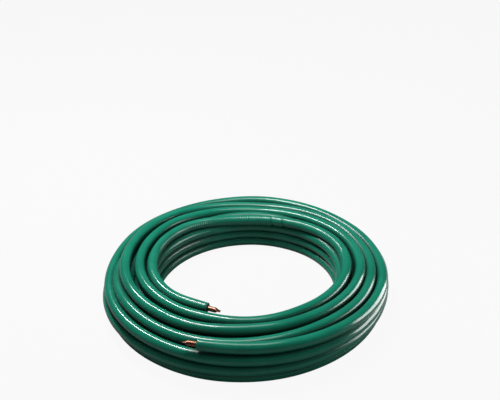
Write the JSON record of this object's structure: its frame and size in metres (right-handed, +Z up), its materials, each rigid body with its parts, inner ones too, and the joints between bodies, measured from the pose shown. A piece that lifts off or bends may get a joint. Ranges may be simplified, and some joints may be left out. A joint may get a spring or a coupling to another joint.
{
  "type": "insulated copper tube coil",
  "caption": "Coil of copper tube in a glossy green foam insulation sleeve, lying on its end, with a bare pinched copper end in the bore and another at the rim.",
  "frame": {"origin": "on the coil's axis, at the floor that it lies on", "axes": "+Z up along the coil's axis; -Y towards the side with both tube ends"},
  "size_m": [0.5543, 0.5544, 0.083],
  "materials": {
    "insulation": "gloss skin on soft foam",
    "copper": "dull drawn copper"
  },
  "bodies": {
    "root": {"insulation_sleeve": "insulation", "copper_inner_end": "copper", "copper_outer_end": "copper"}
  },
  "joints": []
}
